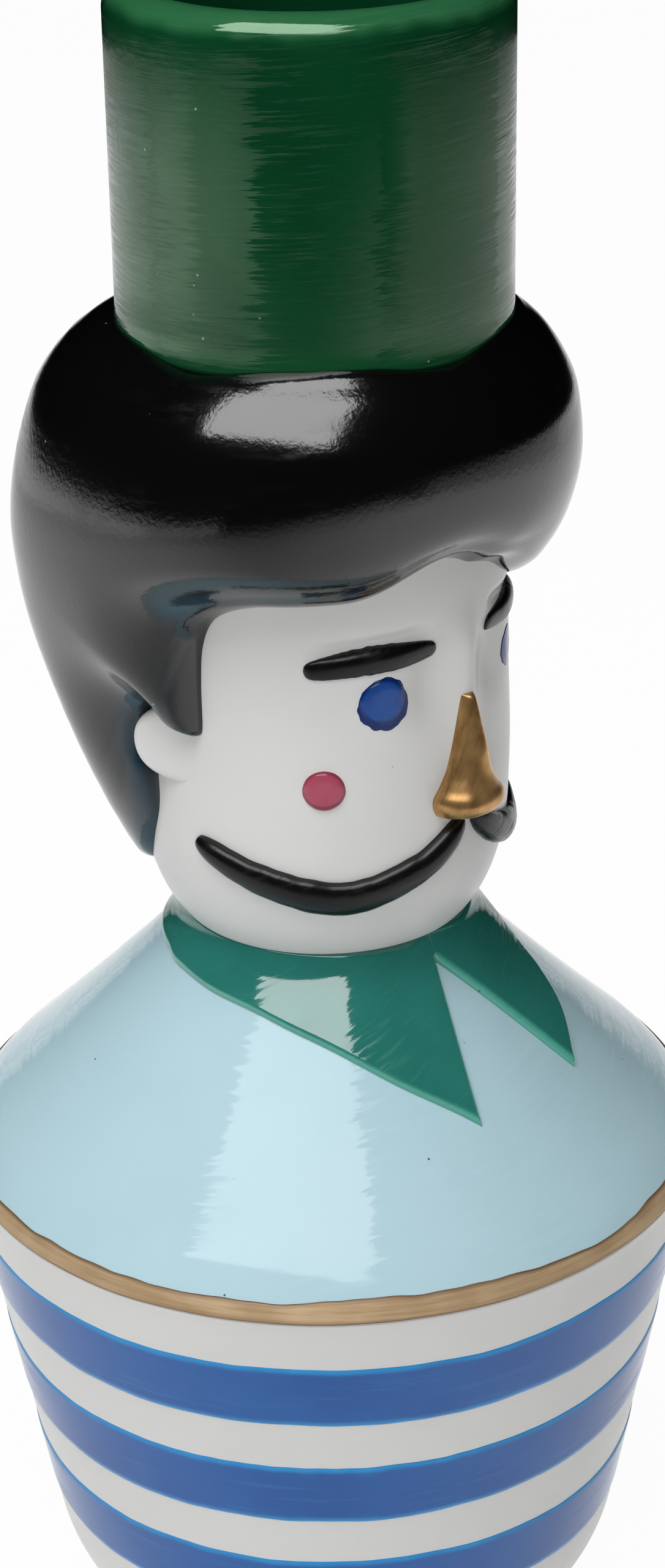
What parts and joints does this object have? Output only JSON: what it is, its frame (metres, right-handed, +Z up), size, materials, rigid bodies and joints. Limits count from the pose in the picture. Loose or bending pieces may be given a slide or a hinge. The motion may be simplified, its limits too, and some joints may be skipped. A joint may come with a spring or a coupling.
{
  "type": "figural flower vase",
  "caption": "Glazed ceramic bust vase: a moustached man in a striped jersey and collar whose tall open hat is the mouth of one hollow for water and stems.",
  "frame": {"origin": "centre of the foot ring, on the plane the vase stands on", "axes": "+Z up through the hat's mouth, -Y the way the face looks, +X the figure's left"},
  "size_m": [0.1104, 0.1104, 0.25],
  "materials": {
    "white_glaze": "glossy white glaze",
    "sky_glaze": "glossy pale blue glaze",
    "cobalt_enamel": "glossy cobalt blue enamel",
    "gold_lustre": "brushed gold lustre over glaze",
    "teal_glaze": "glossy teal green glaze",
    "black_glaze": "glossy black glaze",
    "hat_glaze": "glossy bottle green glaze",
    "rose_enamel": "glossy raspberry enamel"
  },
  "bodies": {
    "root": {"body_cup": "white_glaze", "head_shell": "white_glaze", "ear_right": "white_glaze", "ear_left": "white_glaze", "shoulder_yoke": "sky_glaze", "stripe_upper": "cobalt_enamel", "stripe_middle": "cobalt_enamel", "stripe_lower": "cobalt_enamel", "eye_right": "cobalt_enamel", "eye_left": "cobalt_enamel", "gold_band": "gold_lustre", "nose": "gold_lustre", "collar_right": "teal_glaze", "collar_left": "teal_glaze", "hair_cap": "black_glaze", "brow_right": "black_glaze", "brow_left": "black_glaze", "moustache_right": "black_glaze", "moustache_left": "black_glaze", "hat_neck": "hat_glaze", "cheek_right": "rose_enamel", "cheek_left": "rose_enamel"}
  },
  "joints": []
}
